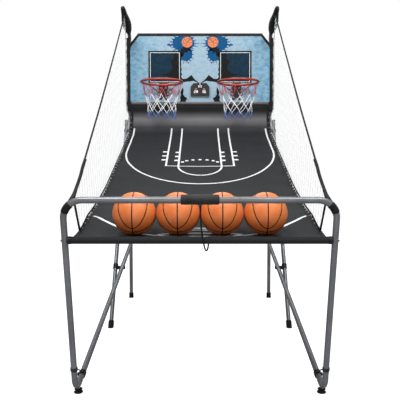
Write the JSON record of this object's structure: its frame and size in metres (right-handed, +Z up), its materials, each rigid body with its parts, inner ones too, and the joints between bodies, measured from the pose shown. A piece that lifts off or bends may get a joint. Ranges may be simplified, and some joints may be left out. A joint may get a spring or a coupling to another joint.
{
  "type": "basketball hoop machine",
  "caption": "Folding indoor basketball arcade machine with twin hoops, printed backboard, scoreboard, sloping cloth court, side nets and a fold-up front frame.",
  "frame": {"origin": "on the floor, under the middle of the machine's overall box", "axes": "+X to the player's right, +Y from the player towards the backboard, +Z up"},
  "size_m": [1.11, 2.0271, 2.0315],
  "materials": {
    "frame_steel": "satin grey powder coat",
    "zinc_steel": "bright zinc plate",
    "black_plastic": "moulded, fine texture",
    "black_steel": "black powder coat",
    "foot_rubber": "moulded matt",
    "foam": "closed-cell foam, matt",
    "printed_board": "printed panel, satin",
    "hoop_paint": "gloss powder coat",
    "hoop_net_cord": "knotted cord in red, white and blue",
    "scoreboard_plastic": "moulded, fine texture",
    "display_lens": "smoked, clear",
    "circuit_board": "solder mask",
    "court_cloth": "tight woven cloth, printed lines",
    "side_net_cord": "fine knotted cord",
    "black_webbing": "woven polyester",
    "cord_rubber": "braided cord",
    "ball_rubber": "pebbled, satin"
  },
  "bodies": {
    "root": {"rear_post_left": "frame_steel", "rear_post_right": "frame_steel", "net_arms": "frame_steel", "arm_pads": "foam", "mid_leg_left": "frame_steel", "mid_leg_right": "frame_steel", "rear_feet": "foot_rubber", "mid_feet": "foot_rubber", "tube_plugs": "black_plastic", "post_clamps": "black_plastic", "rear_cross_tube": "frame_steel", "mid_cross_tube": "frame_steel", "ramp_top_tube": "frame_steel", "board_rails": "frame_steel", "tube_inserts": "black_plastic", "frame_bolts": "zinc_steel", "hinge_bolts": "zinc_steel", "brace_saddles": "black_plastic", "backboard": "printed_board", "backboard_trim": "black_plastic", "board_screws": "zinc_steel", "hoop_left": "hoop_paint", "hoop_right": "hoop_paint", "hoop_brackets": "black_steel", "bracket_bolts": "zinc_steel", "bracket_back_plates": "frame_steel", "hoop_net_left": "hoop_net_cord", "hoop_net_right": "hoop_net_cord", "scoreboard_case": "scoreboard_plastic", "scoreboard_lens": "display_lens", "scoreboard_circuit": "circuit_board", "court_main": "court_cloth", "side_net_left": "side_net_cord", "side_net_right": "side_net_cord", "post_sleeves": "black_webbing"},
    "front_frame": {"crossbar": "frame_steel", "crossbar_grip": "foam", "front_leg_left": "frame_steel", "front_leg_right": "frame_steel", "frame_couplers": "zinc_steel", "brace_tube_left": "frame_steel", "brace_tube_right": "frame_steel", "brace_plugs": "black_plastic", "leg_collars": "black_plastic", "leg_stays": "black_steel", "foot_nuts": "zinc_steel", "front_bar": "frame_steel", "front_bar_caps": "black_plastic", "leg_bolts": "zinc_steel", "court_front": "court_cloth", "net_straps": "black_webbing", "pull_cord": "cord_rubber"},
    "levelling_foot_left": {"levelling_foot_left": "foot_rubber"},
    "levelling_foot_right": {"levelling_foot_right": "foot_rubber"},
    "power_button": {"power_button": "black_plastic"},
    "mode_button": {"mode_button": "black_plastic"},
    "basketball_1": {"basketball_1": "ball_rubber"},
    "basketball_2": {"basketball_2": "ball_rubber"},
    "basketball_3": {"basketball_3": "ball_rubber"},
    "basketball_4": {"basketball_4": "ball_rubber"}
  },
  "joints": [
    {"name": "front_fold", "type": "hinge", "parent": "root", "child": "front_frame", "pos_m": [0, 0.995, 0.478], "axis": [-1, 0, 0], "range_deg": [0, 80], "deforming": ["court_main", "side_net_left", "side_net_right"]},
    {"name": "levelling_screw_left", "type": "hinge", "parent": "front_frame", "child": "levelling_foot_left", "pos_m": [-0.52, -0.767, 0.01], "axis": [0, 0, 1], "continuous": true},
    {"name": "levelling_screw_right", "type": "hinge", "parent": "front_frame", "child": "levelling_foot_right", "pos_m": [0.52, -0.767, 0.01], "axis": [0, 0, 1], "continuous": true},
    {"name": "power_press", "type": "slide", "parent": "root", "child": "power_button", "axis": [0, 0, 1], "range_m": [0, 0.0015], "stiffness_N_per_m": 300},
    {"name": "mode_press", "type": "slide", "parent": "root", "child": "mode_button", "axis": [0, 0, 1], "range_m": [0, 0.0015], "stiffness_N_per_m": 300},
    {"name": "ball_roll_1", "type": "hinge", "parent": "front_frame", "child": "basketball_1", "pos_m": [-0.26895, -0.83, 0.772], "axis": [1, 0, 0], "continuous": true},
    {"name": "ball_roll_2", "type": "hinge", "parent": "front_frame", "child": "basketball_2", "pos_m": [-0.08965, -0.83, 0.772], "axis": [1, 0, 0], "continuous": true},
    {"name": "ball_roll_3", "type": "hinge", "parent": "front_frame", "child": "basketball_3", "pos_m": [0.08965, -0.83, 0.772], "axis": [1, 0, 0], "continuous": true},
    {"name": "ball_roll_4", "type": "hinge", "parent": "front_frame", "child": "basketball_4", "pos_m": [0.26895, -0.83, 0.772], "axis": [1, 0, 0], "continuous": true}
  ]
}
